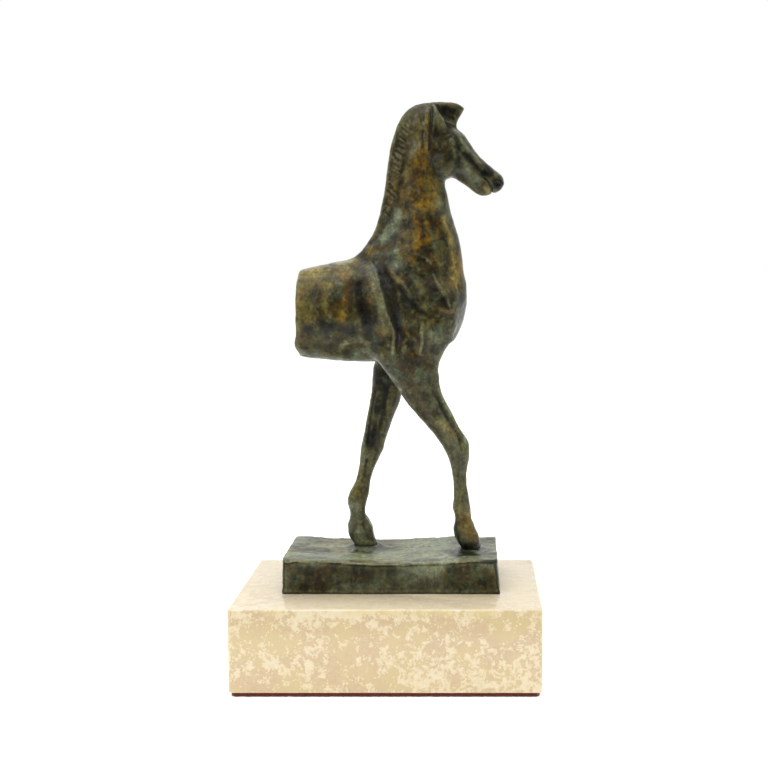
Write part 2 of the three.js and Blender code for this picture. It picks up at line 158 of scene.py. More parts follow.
class Skin:
    """The points of a dense mesh, moved and tinted by strokes."""

    def __init__(self, piece):
        self.piece = piece
        mesh = piece.data
        self.count = len(mesh.vertices)
        flat = np.empty(3 * self.count)
        mesh.vertices.foreach_get("co", flat)
        self.at = flat.reshape(-1, 3) / MM - ORIGIN
        ends = np.empty(2 * len(mesh.edges), int)
        mesh.edges.foreach_get("vertices", ends)
        self.ends = ends.reshape(-1, 2)
        self.degree = np.bincount(ends, minlength=self.count)
        self.tints = {}
        self.refresh()

    def refresh(self):
        """Writes the points back and reads which way the skin faces."""
        mesh = self.piece.data
        mesh.vertices.foreach_set("co", ((self.at + ORIGIN) * MM).ravel())
        mesh.update()
        flat = np.empty(3 * self.count)
        mesh.vertex_normals.foreach_get("vector", flat)
        self.normal = flat.reshape(-1, 3)

    def averaged(self, values):
        """Each point's mean of its neighbours' values."""
        a, b = self.ends.T
        total = np.bincount(a, values[b], self.count)
        total += np.bincount(b, values[a], self.count)
        return total / self.degree

    def smooth(self, rounds, amount=1.0):
        for _ in range(rounds):
            mean = np.stack([self.averaged(axis) for axis in self.at.T], axis=1)
            self.at += 0.6 * np.multiply(amount, (mean - self.at).T).T
        self.refresh()

    def along(self, line, width, only=None):
        """Points close to a line on the XZ plane: which they are, how far
        they are from it in widths (above 0 on its left), and how much of a
        stroke they get."""
        path = curve(line)
        flat = self.at[:, [0, 2]]
        low, high = path.min(0) - 3 * width, path.max(0) + 3 * width
        close = np.all((flat > low) & (flat < high), axis=1)
        if only is not None:
            close &= only
        which = np.flatnonzero(close)
        p = flat[which]
        nearest = np.full(len(which), np.inf)
        offset = np.zeros(len(which))
        part = np.zeros(len(which))
        run = np.hypot(*np.diff(path, axis=0).T)
        start = np.concatenate([[0], np.cumsum(run)])
        for i, (a, b) in enumerate(zip(path, path[1:])):
            way = (b - a) / run[i]
            forward = np.clip((p - a) @ way, 0, run[i])
            away = p - a - forward[:, None] * way
            distance = np.hypot(*away.T)
            better = distance < nearest
            nearest[better] = distance[better]
            left = way[0] * away[:, 1] - way[1] * away[:, 0]
            offset[better] = (np.sign(left) * distance / width)[better]
            part[better] = ((start[i] + forward) / start[-1])[better]
        facing = smooth_step(1.8 * np.abs(self.normal[which, 1]))
        fade = smooth_step(part / 0.2) * smooth_step((1 - part) / 0.2)
        return which, offset, facing, fade

    def stroke(self, line, height, width, only=None, blunt=False, around=False):
        """A ridge along a line, or a groove if height is below 0. It thins
        out where the skin turns away from the side, unless it goes around."""
        which, offset, facing, fade = self.along(line, width, only)
        lift = height * np.exp(-(offset**2)) * (1 if blunt else fade)
        lift = lift * (1 if around else facing)
        self.at[which] += self.normal[which] * lift[:, None]

    def step(self, line, height, width):
        """Raises the skin on a line's left and lowers it on its right."""
        which, offset, facing, fade = self.along(line, width)
        lift = height * offset * np.exp(0.5 - offset**2 / 2) * facing * fade
        self.at[which] += self.normal[which] * lift[:, None]

    def spot(self, x, z, height, radius, long=1.0, tilt=0.0, only=None):
        """A bump or a hollow, `long` times as long as wide along `tilt`."""
        reach = radius * (long - 1)
        dx, dz = math.cos(math.radians(tilt)), math.sin(math.radians(tilt))
        ends = [(x - reach * dx, z - reach * dz), (x + reach * dx, z + reach * dz)]
        if long == 1:
            ends = [(x - 0.01, z), (x + 0.01, z)]
        self.stroke(ends, height, radius, only, blunt=True)

    def push(self, x, z, dx, dz, radius):
        """Moves the skin round a point of the XZ plane by (dx, dz)."""
        away = np.hypot(self.at[:, 0] - x, self.at[:, 2] - z) / radius
        self.at += np.exp(-(away**2))[:, None] * [dx, 0, dz]

    def tint(self, name, line, strength, width):
        """Adds to a named tint along a line, for the material to read."""
        which, offset, _, _ = self.along(line, width)
        offset = offset * (1 + 0.45 * noise(self.at[which], 4.5, 31))
        strength = strength * np.clip(0.8 + 0.7 * noise(self.at[which], 2.6, 32), 0, 1)
        tint = self.tints.setdefault(name, np.zeros(self.count))
        tint[which] = np.maximum(tint[which], strength * np.exp(-(offset**2)))

    def roughen(self, amount, size, seed, only=1.0):
        lift = amount * noise(self.at, size, seed) * only
        self.at += self.normal * lift[:, None]

    def hollows(self, rounds):
        """How hollow the skin is at each point, below 0 on ridges."""
        flat = self.at.copy()
        for _ in range(rounds):
            mean = np.stack([self.averaged(axis) for axis in flat.T], axis=1)
            flat += 0.6 * (mean - flat)
        return np.einsum("ij,ij->i", flat - self.at, self.normal)

    def finish(self):
        """Stores the tints on the mesh, and how hollow it is."""
        self.refresh()
        self.tints["hollow"] = np.clip(self.hollows(5) / 0.06, -1, 1)
        self.tints["valley"] = np.clip(self.hollows(40) / 0.35, -1, 1)
        mesh = self.piece.data
        for name, values in self.tints.items():
            layer = mesh.attributes.new(name, "FLOAT", "POINT")
            layer.data.foreach_set("value", values.astype(np.float32))
        mesh.shade_smooth()


# ------------------------------------------------------------------ materials


class Shader:
    """A material's node tree, with short calls for its nodes."""

    def __init__(self, name):
        self.material = bpy.data.materials.new(name)
        self.material.use_nodes = True
        self.tree = self.material.node_tree
        self.surface = self.tree.nodes["Principled BSDF"]
        place = self.tree.nodes.new("ShaderNodeTexCoord")
        self.place = place.outputs["Object"]

    def link(self, value, socket):
        if isinstance(value, bpy.types.NodeSocket):
            self.tree.links.new(value, socket)
        else:
            socket.default_value = value

    def attribute(self, name):
        node = self.tree.nodes.new("ShaderNodeAttribute")
        node.attribute_name = name
        return node.outputs["Fac"]

    def noise(self, size, detail=4.0, roughness=0.55, stretch=(1, 1, 1), lumps=0.0):
        """Fractal noise from 0 to 1, with features about `size` mm across."""
        node = self.tree.nodes.new("ShaderNodeTexNoise")
        turn = self.tree.nodes.new("ShaderNodeMapping")
        turn.inputs["Scale"].default_value = [1 / s for s in stretch]
        self.link(self.place, turn.inputs["Vector"])
        self.link(turn.outputs["Vector"], node.inputs["Vector"])
        node.inputs["Scale"].default_value = 1 / (size * MM)
        node.inputs["Detail"].default_value = detail
        node.inputs["Roughness"].default_value = roughness
        node.inputs["Distortion"].default_value = lumps
        return node.outputs["Fac"]

    def height(self):
        """How high the point is, in millimetres."""
        node = self.tree.nodes.new("ShaderNodeSeparateXYZ")
        self.link(self.place, node.inputs[0])
        return self.math("MULTIPLY", node.outputs["Z"], 1 / MM)

    def turned_away(self):
        """0 where the skin faces the eye, and 1 where it is seen edge on."""
        node = self.tree.nodes.new("ShaderNodeLayerWeight")
        node.inputs["Blend"].default_value = 0.5
        return node.outputs["Facing"]

    def cells(self, size):
        node = self.tree.nodes.new("ShaderNodeTexVoronoi")
        self.link(self.place, node.inputs["Vector"])
        node.inputs["Scale"].default_value = 1 / (size * MM)
        return node.outputs["Distance"]

    def math(self, operation, a, b=0.0):
        node = self.tree.nodes.new("ShaderNodeMath")
        node.operation = operation
        self.link(a, node.inputs[0])
        self.link(b, node.inputs[1])
        return node.outputs[0]

    def ramp(self, value, low, high, at_low=0.0, at_high=1.0):
        """Carries value from low..high to at_low..at_high, and clamps it."""
        node = self.tree.nodes.new("ShaderNodeMapRange")
        node.interpolation_type = "SMOOTHSTEP"
        self.link(value, node.inputs["Value"])
        for name, number in {
            "From Min": low,
            "From Max": high,
            "To Min": at_low,
            "To Max": at_high,
        }.items():
            node.inputs[name].default_value = number
        return node.outputs["Result"]

    def mix(self, amount, a, b, blend="MIX"):
        node = self.tree.nodes.new("ShaderNodeMix")
        node.data_type = "RGBA"
        node.blend_type = blend
        node.clamp_factor = True
        self.link(amount, node.inputs["Factor"])
        self.link(a, node.inputs["A"])
        self.link(b, node.inputs["B"])
        return node.outputs["Result"]

    def bump(self, height, distance, strength=1.0, under=None):
        node = self.tree.nodes.new("ShaderNodeBump")
        node.inputs["Strength"].default_value = strength
        node.inputs["Distance"].default_value = distance * MM
        self.link(height, node.inputs["Height"])
        if under is not None:
            self.link(under, node.inputs["Normal"])
        return node.outputs["Normal"]

    def set(self, **values):
        for name, value in values.items():
            title = name.replace("_", " ").title().replace("Ior", "IOR")
            socket = self.surface.inputs[title]
            self.link(value, socket)
        return self.material


def colour(r, g, b):
    return (r, g, b, 1.0)


def bronze():
    """Dark olive-brown patina, with green on the high places, ochre where it was
    rubbed back, and near black in the hollows. Painted highlights lie in thin
    pale lines along ridges, painted shade in the creases, and a painted
    reflection makes a pale rim where the skin is seen edge on."""
    s = Shader("patinated_bronze")
    hollow, valley, dark_patina_and_shade = [s.attribute(name) for name in ("hollow", "valley", "dark_patina_and_shade")]
    upright = (1, 1, 1.35)
    cloud = s.noise(11, 6, 0.62)
    drift = s.noise(4.4, 6, 0.62, upright, lumps=0.6)
    blotch = s.noise(2.8, 5, 0.6, upright, lumps=0.4)
    smoky = s.noise(3.6, 3, 0.5, upright, lumps=0.5)
    grain = s.noise(1.1, 5, 0.7)

    dark, brown = colour(0.003, 0.003, 0.0015), colour(0.030, 0.019, 0.003)
    olive, yellow = colour(0.050, 0.044, 0.009), colour(0.26, 0.195, 0.038)
    green, pale = colour(0.056, 0.076, 0.038), colour(0.21, 0.245, 0.150)
    gold, rust = colour(0.205, 0.115, 0.003), colour(0.074, 0.029, 0.001)

    def wash(name, low=0.38, high=0.58, least=0.3):
        patches = s.ramp(drift, low, high, least, 1)
        return s.math("MULTIPLY", s.attribute(name), patches)

    base = s.mix(s.ramp(cloud, 0.4, 0.58), brown, olive)
    base = s.mix(s.ramp(drift, 0.5, 0.64, 0, 0.9), base, green)
    base = s.mix(s.ramp(blotch, 0.54, 0.36, 0, 0.7), base, dark)
    base = s.mix(wash("olive", 0.36, 0.6), base, yellow)
    base = s.mix(wash("ochre", 0.28, 0.56, 0.6), base, s.mix(s.ramp(smoky, 0.4, 0.56), rust, gold))
    # pale green patina, plus painted highlights in thin lines along ridges and on the plinth's front lip
    base = s.mix(wash("verdigris_and_highlight", 0.32, 0.55, 0.45), base, pale)
    # dark patina, plus painted shade in the creases, under the plinth's lip and in front of the hooves
    base = s.mix(wash("dark_patina_and_shade", 0.75, 0.5, 0.5), base, dark)
    high_places = s.math("MAXIMUM", s.ramp(hollow, -0.1, -0.9), s.ramp(valley, -0.15, -1.0))
    rubbed = s.math("MULTIPLY", high_places, s.ramp(dark_patina_and_shade, 0.2, 0.8, 0.28, 0.02))
    base = s.mix(rubbed, base, s.mix(drift, pale, yellow))
    deep = s.math("MAXIMUM", s.ramp(hollow, 0.1, 0.8), s.ramp(valley, 0.2, 1.0))
    base = s.mix(s.math("MULTIPLY", deep, 0.65), base, dark)
    base = s.mix(1.0, base, s.ramp(blotch, 0.34, 0.68, 0.8, 1.3), "MULTIPLY")
    base = s.mix(1.0, base, s.ramp(grain, 0.34, 0.66, 0.68, 1.34), "MULTIPLY")
    # painted reflection: a pale rim where the skin is seen edge on
    painted_rim_reflection = s.math("MULTIPLY", s.ramp(s.turned_away(), 0.66, 0.98), s.ramp(dark_patina_and_shade, 0.3, 1, 0.65, 0.15))
    base = s.mix(painted_rim_reflection, base, pale)

    relief = s.bump(s.noise(0.7, 5, 0.6), 0.03, 0.6)
    relief = s.bump(s.noise(2.4, 4, 0.55), 0.10, 0.8, relief)
    worn = s.ramp(s.noise(1.8, 5, 0.6), 0.3, 0.7, 0.32, 0.5)
    return s.set(
        base_color=base,
        metallic=0.0,
        roughness=s.math("SUBTRACT", worn, s.math("MULTIPLY", dark_patina_and_shade, 0.1)),
        specular_ior_level=0.28,
        normal=relief,
    )


def limestone():
    """Tan stone with clouds of cream in it, cut and polished."""
    s = Shader("cream_limestone")
    tan, deep = colour(0.70, 0.54, 0.345), colour(0.64, 0.48, 0.285)
    straw, dull = colour(0.69, 0.555, 0.30), colour(0.66, 0.575, 0.435)
    cream, white = colour(0.80, 0.675, 0.45), colour(0.86, 0.76, 0.555)
    wide = s.noise(24, 3, 0.55, (1.5, 1.5, 0.7))
    flecks = s.noise(2.9, 7, 0.72, (1.0, 1.0, 1.05), 0.25)
    grains = s.ramp(s.cells(1.1), 0.15, 0.55, 0.035, -0.035)
    fine = s.noise(0.9, 4, 0.65)
    level = s.math("ADD", flecks, s.ramp(wide, 0.32, 0.68, -0.06, 0.06))
    level = s.math("ADD", level, s.ramp(s.height(), STONE_TOP - 11, STONE_TOP - 1, 0, 0.05))
    level = s.math("ADD", level, grains)
    base = s.mix(s.ramp(fine, 0.3, 0.7), deep, tan)
    base = s.mix(s.ramp(s.noise(13, 3, 0.5), 0.42, 0.58, 0, 0.8), base, straw)
    base = s.mix(s.ramp(level, 0.485, 0.535), base, cream)
    base = s.mix(s.ramp(level, 0.56, 0.64, 0, 0.6), base, white)
    # a lighter, yellower band just under the top edge
    yellow_band = s.ramp(s.height(), STONE_TOP - 4, STONE_TOP - 0.6, 0, 0.6)
    yellow_band = s.math("MULTIPLY", yellow_band, s.ramp(s.noise(9, 3, 0.5), 0.42, 0.58))
    base = s.mix(yellow_band, base, colour(0.78, 0.645, 0.34))
    base = s.mix(s.ramp(s.height(), STONE_TOP - 0.2, STONE_TOP - 0.05, 0, 0.6), base, dull)
    pits = s.ramp(s.cells(2.6), 0.0, 0.09, 1, 0)
    pits = s.math("MULTIPLY", pits, s.ramp(s.noise(5, 2), 0.56, 0.62))
    base = s.mix(s.math("MULTIPLY", pits, 0.5), base, colour(0.3, 0.2, 0.1))
    relief = s.bump(s.math("MULTIPLY", pits, -1.0), 0.1, 0.6)
    relief = s.bump(s.noise(1.3, 4), 0.008, 0.5, relief)
    return s.set(
        base_color=base,
        roughness=s.ramp(flecks, 0.4, 0.6, 0.14, 0.26),
        normal=relief,
    )


def felt():
    """Dark red wool, matted from crossing hairs."""
    s = Shader("red_felt")
    hairs = s.noise(0.35, 4, 0.7, (3, 1, 1))
    wisps = s.noise(0.5, 4, 0.7, (1, 2.5, 1))
    nap = s.math("MULTIPLY", hairs, wisps)
    base = s.mix(
        s.ramp(nap, 0.12, 0.38), colour(0.04, 0.006, 0.004), colour(0.17, 0.018, 0.012)
    )
    return s.set(
        base_color=base,
        roughness=0.95,
        sheen_weight=0.4,
        sheen_roughness=0.5,
        normal=s.bump(nap, 0.15, 0.8),
    )


def steel():
    """Zinc plating over turned steel."""
    s = Shader("zinc_plated_steel")
    turned = s.noise(0.5, 3, 0.6, (6, 6, 0.3))
    return s.set(
        base_color=s.mix(
            s.noise(2, 4), colour(0.42, 0.43, 0.45), colour(0.62, 0.63, 0.65)
        ),
        metallic=1.0,
        roughness=s.ramp(turned, 0.3, 0.7, 0.25, 0.45),
        normal=s.bump(turned, 0.01, 0.5),
    )


# ---------------------------------------------------------------------- horse

def leg_masks(skin):
    """Which points are on the right leg and which on the left, so that the
    strokes of one stay off the other."""
    x, y, z = skin.at.T
    right = (y < MIDDLE_Y + 0.3) | ((z < 82) & (x > 12))
    left = (y > MIDDLE_Y - 0.3) | ((z < 82) & (x < 8))
    return right & (z < LEGS_TOP), left & (z < LEGS_TOP)


def shape_body(skin):
    """The shoulders, the breast and the barrel."""
    rear_fold = [
        (-6.8, 151.5),
        (-4.6, 148.3),
        (-3.8, 145.7),
        (-2.6, 140.6),
        (0.1, 131.3),
        (2.1, 125.1),
        (1.9, 120.9),
        (1.2, 116.5),
    ]
    skin.step(rear_fold, -0.6, 1.7)
    skin.stroke(rear_fold, 0.35, 0.6)
    skin.stroke([(-2.2, 150), (0.3, 143.4), (2.4, 135), (3.8, 127.1), (5.8, 121.5)], -0.6, 2.1)
    mid_fold = [(-0.9, 150.2), (1.3, 147.2), (3.8, 144.7), (5.9, 142.6), (7.2, 140.2), (9.4, 137.2)]
    skin.stroke(mid_fold, 0.4, 0.8)
    skin.stroke([(3.6, 143), (5.9, 139.6), (9.4, 135.4), (14.4, 131.4)], -0.45, 1.3)
    skin.stroke([(5.4, 147.4), (8.4, 143.6), (11.6, 139.6)], -0.3, 1.3)
    skin.stroke([(-10.5, 146), (-8.6, 138), (-6.8, 129), (-5.2, 122)], -0.5, 3.2)
    skin.stroke([(10.5, 148), (14.6, 143), (19.4, 137.4)], -0.6, 2.0)
    skin.stroke([(15.3, 149), (17.8, 143.6), (19.8, 140.4), (21.6, 137), (22.7, 134.4)], 0.3, 0.6)
    skin.stroke([(17.6, 134.6), (20.9, 133.6), (24.0, 133.4)], 0.25, 0.9)
    skin.stroke([(18.4, 132.2), (21, 131.2), (23.8, 131)], -0.2, 1.0)
    skin.stroke([(12.9, 130.6), (12.1, 126.1), (12.4, 122.6), (11.5, 118)], 0.4, 0.55)
    skin.stroke([(8.4, 129), (8.4, 123), (9.4, 117)], -0.5, 1.8)
    skin.stroke([(17.4, 130), (16.2, 122), (15.6, 113)], -0.35, 2.0)
    belly_fold = [(-19, 119.4), (-14, 122.0), (-8.4, 122.0), (-5.6, 118.2)]
    skin.stroke(belly_fold, 0.4, 1.4)
    skin.stroke([(x, z + 3.6) for x, z in belly_fold], -0.28, 2.4)
    for x, depth in ((-27, 0.1), (-22.5, 0.14), (-17.5, 0.18), (-12.8, 0.18)):
        skin.stroke([(x, 145), (x - 1, 134), (x + 0.6, 123)], -depth, 1.6)
    withers = [(2.2, 164), (-1.8, 159.6), (-7, 156.0), (-14, 152.2)]
    skin.stroke(withers, 0.35, 1.6)
    skin.stroke([(-1.0, 165.8), (-4.6, 160.4), (-8.3, 156.6)], -0.45, 1.0)
    skin.stroke([(19.2, 167), (21.6, 161), (23, 154)], 0.25, 1.3)
    skin.stroke([(16.8, 168), (18.8, 160), (20, 150)], -0.3, 2.0)
    skin.stroke([(8, 154.5), (12.5, 153.2), (17, 149.6)], 0.28, 1.2)
    skin.stroke([(9, 151.6), (13.5, 150.2), (18, 146.6)], -0.25, 1.6)
    skin.stroke([(4.4, 172), (5.2, 164), (8.6, 155)], -0.25, 2.2)
    skin.push(26.4, 127.5, 0.8, -0.1, 5.0)
    skin.push(23.0, 119.0, 1.9, -0.8, 5.0)
    skin.push(24.4, 123.4, 0.8, -0.2, 3.5)
    skin.push(18.4, 107.0, 0.8, 0.0, 3.5)
    skin.push(-33.4, 120.8, -0.9, -0.2, 3.0)


def shape_legs(skin):
    """The shins, tendons, knees and fetlocks."""
    right, left = leg_masks(skin)
    # the leading leg
    shin = [(17.6, 106.5), (20.4, 99.4), (23.9, 93.0), (27.0, 87.6), (28.0, 83)]
    skin.stroke(shin, 0.45, 0.6, only=right)
    skin.stroke([(x - 1.6, z - 0.6) for x, z in shin], -0.3, 0.7, only=right)
    skin.stroke([(9, 104), (13.4, 97.6), (18.4, 89.4)], 0.22, 1.6, only=right)
    skin.spot(26.4, 82.4, 0.3, 1.7, 1.5, 75, only=right)
    skin.stroke([(21.4, 84), (23.2, 79), (23.8, 74)], -0.22, 0.9, only=right)
    skin.stroke([(23.2, 72.2), (27.8, 71.4)], -0.2, 0.9, only=right)
    skin.stroke([(25.4, 79), (25.2, 70), (25.4, 62)], -0.16, 0.6, only=right)
    skin.spot(24.8, 59.6, 0.3, 1.4, only=right)
    skin.spot(28.6, 58.4, 0.25, 1.3, only=right)
    # the trailing leg
    skin.stroke([(-6.8, 107), (-8.2, 98.2), (-9.3, 90.8), (-10.4, 80)], 0.35, 0.6, only=left)
    skin.stroke([(-5.6, 106), (-6.9, 98.2), (-8.1, 90.8), (-9.3, 80)], -0.3, 0.7, only=left)
    skin.stroke([(-1.4, 108), (-2.8, 98), (-5.0, 87)], -0.5, 1.4, only=left)
    skin.stroke([(-3.2, 100), (-5.4, 90), (-7.6, 79), (-9.4, 70)], 0.25, 0.8, only=left)
    skin.stroke([(-10.8, 77), (-7.2, 76.2)], -0.18, 0.9, only=left)
    skin.stroke([(-9, 78), (-10.4, 71), (-12.4, 66)], -0.18, 0.6, only=left)
    skin.spot(-15.4, 61.4, 0.3, 1.5, only=left)
    skin.spot(-10.8, 60.4, 0.2, 1.4, only=left)
    skin.stroke([(-10.6, 57), (-8.6, 51), (-6.6, 46)], 0.25, 0.7, only=left)


def ring_round(skin, x, y, z, slope, height, width, reach):
    """A raised or cut ring round a leg, at z over its middle and tilted."""
    px, py, pz = skin.at.T
    near = (np.hypot(px - x, py - y) < reach) & (abs(pz - z) < 6)
    level = (pz - z - slope * (px - x)) / width
    lift = np.where(near, height * np.exp(-(level**2)), 0)
    skin.at += skin.normal * lift[:, None]


def shape_hooves(skin):
    """The coronets, and the trailing hoof's front edge."""
    for x, y in PASTERNS:
        ring_round(skin, x, y, 53.0, 0.16, 0.14, 0.9, 9)
        ring_round(skin, x, y, 50.8, 0.16, -0.1, 0.9, 9)
    _, left = leg_masks(skin)
    skin.stroke([(-10.3, 55.3), (-8.1, 50.8), (-5.9, 45.4)], 0.35, 0.6, only=left)
    skin.stroke([(-11.6, 53.6), (-9.9, 49.6), (-8.4, 45.6)], -0.3, 0.7, only=left)


MANE_EDGE = [
    (-14.2, 152.8),
    (-7.2, 159.6),
    (-2.8, 173),
    (-1.2, 181.5),
    (0.2, 191.5),
    (3.6, 202),
    (10.7, 208.5),
    (19.1, 209.3),
    (27.9, 206.9),
]


def mane_line():
    """The mane's outer edge, and how far along it each point is."""
    edge = curve(MANE_EDGE, 12)
    run = np.concatenate([[0], np.cumsum(np.hypot(*np.diff(edge, axis=0).T))])
    return edge, run


def thicken_mane(skin):
    """Fills the step between the mane's flat sides and the neck, and the
    cleft behind the ears."""
    edge, _ = mane_line()
    x, y, z = skin.at.T
    half = abs(y - MIDDLE_Y)
    close = (x < 19) & (z > 176) & (half > 0.6)
    gap = skin.at[close][:, None, [0, 2]] - edge[None]
    depth = np.full(skin.count, np.inf)
    depth[close] = np.sqrt((gap**2).sum(2).min(1))
    sides = (abs(skin.normal[:, 1]) > 0.35) | (depth > 2)
    low = np.interp(depth, [0, 3, 6, 9, 12], [1.5, 2.4, 3.6, 4.6, 5.0])
    high = np.interp(depth, [0, 2, 4, 8, 12], [1.5, 3.0, 4.4, 5.0, 5.0])
    least = low + (high - low) * smooth_step((z - 190) / 10)
    least *= smooth_step((z - 176) / 14) * smooth_step((19 - x) / 3)
    grown = np.where(sides & (depth < 12), np.maximum(half, least), half)
    skin.at[:, 1] = MIDDLE_Y + np.sign(y - MIDDLE_Y) * grown
    skin.refresh()


def shape_mane(skin):
    """A cropped mane: a smooth rim, and short cuts across it."""
    edge, run = mane_line()

    def at(s):
        return np.array([np.interp(s, run, edge[:, 0]), np.interp(s, run, edge[:, 1])])

    def frame_at(s):
        way = at(s + 0.5) - at(s - 0.5)
        way /= np.hypot(*way)
        return at(s), way, np.array([way[1], -way[0]])

    def depth_at(s):
        return np.interp(s, [9, 25, 36, 49, 62, 70], [3.2, 4.6, 5.6, 6.3, 7.0, 7.2])

    inner = [p + inward * depth_at(s) for s in range(9, 50, 5) for p, _, inward in [frame_at(s)]]
    skin.step(inner, 0.2, 1.2)
    skin.stroke(inner, -0.12, 0.8)
    # painted shade along the step at the mane's inner edge
    skin.tint("dark_patina_and_shade", inner[2:], 0.6, 1.4)
    shake = np.random.default_rng(4)
    s = 20.0
    while s < 64:
        p, way, inward = frame_at(s)
        length = depth_at(s) * (0.35 + 0.45 * shake.random())
        lean = np.interp(s, [22, 60], [1.6, 0.8]) + 1.6 * (shake.random() - 0.3)
        start = p + inward * (1.0 + 1.2 * shake.random())
        end = start + inward * length - way * lean
        bend = (start + end) / 2 + way * 0.5 * (shake.random() - 0.5)
        cut = -np.interp(s, [20, 38, 50, 56, 64], [0.1, 0.28, 0.28, 0.14, 0.05])
        width = 0.38 + 0.2 * shake.random()
        skin.stroke([start, bend, end], cut * (0.35 + 1.1 * shake.random()), width)
        # painted shade in the cut
        skin.tint("dark_patina_and_shade", [start, bend, end], 0.55 * shake.random(), width)
        s += np.interp(s, [20, 40, 64], [0.75, 1.2, 1.8]) + 0.7 * shake.random()


def shape_head(skin):
    """The ear, the eye, the cheek and the muzzle."""
    # the ear lies back along the head, with a fold of the neck behind it
    skin.stroke([(15.9, 209), (15.6, 203.4), (15.3, 199), (14.9, 194.6), (15.2, 190)], -0.38, 0.6)
    skin.stroke([(14.6, 207.4), (13.9, 204.5), (13.5, 199.9), (13.6, 195.8), (14.2, 190)], 0.25, 0.7)
    skin.stroke([(12.7, 199), (12.4, 196), (12.3, 191)], -0.15, 0.6)
    skin.stroke([(16.3, 208.4), (18.2, 204.2), (20.8, 202.0), (24.6, 200.8)], 0.4, 0.5)
    skin.stroke([(19.0, 207), (21.0, 204.2), (25.0, 202.6)], -0.3, 0.9)
    skin.stroke([(17.0, 203.6), (17.4, 199.4), (17.6, 195)], -0.25, 0.9)
    skin.stroke([(19.4, 206.6), (22.6, 206.6), (25.6, 205.4)], -0.25, 1.2)
    # the nasal bone, and the hollow under it
    nasal = [(22.1, 200.6), (25.2, 197.0), (28.3, 192.2), (31.5, 188.4), (34.6, 185.1), (37.4, 182.4)]
    skin.stroke(nasal, 0.4, 0.5)
    skin.stroke([(23.4, 196.6), (25.8, 192.0), (28.9, 188.5), (32.5, 184.9), (35.6, 181.5)], -0.36, 0.9)
    # the eye, between its lids
    skin.spot(22.9, 195.2, -0.3, 1.5, 1.3, -35)
    skin.spot(22.9, 195.1, 0.35, 0.7, 1.2, -35)
    skin.stroke([(21.0, 196.2), (22.5, 196.9), (24.4, 195.6)], 0.2, 0.45)
    # the cheek's disc
    rim = [(15.3, 191), (15.9, 186.1), (17.6, 183.3), (21.2, 182.2), (24, 184), (25, 188)]
    skin.stroke(rim, -0.15, 0.8)
    skin.stroke([(24.6, 194), (25.4, 189.2), (25.6, 184)], -0.3, 1.0)
    skin.stroke([(26.4, 186.2), (30.2, 183.2), (33.4, 180.2)], 0.25, 1.5)
    # the muzzle
    skin.spot(39.6, 179.6, -0.45, 0.75, 1.4, -50)
    skin.stroke([(39.6, 181.4), (40.9, 179.8), (40.4, 178.2)], 0.35, 0.5)
    skin.stroke([(38.2, 183.4), (40.6, 181.4), (42.2, 178.6)], 0.25, 0.7)
    mouth = [(35.0, 181.6), (36.4, 180.2), (37.3, 178.2), (38.0, 175.6)]
    skin.stroke(mouth, -0.6, 0.4, around=True, blunt=True)
    skin.stroke([(34.6, 178.8), (36.0, 177.4), (36.6, 175.8)], 0.25, 0.7)
    skin.stroke([(31.2, 180.4), (32.6, 178.2), (33.0, 175.8)], -0.2, 0.9)


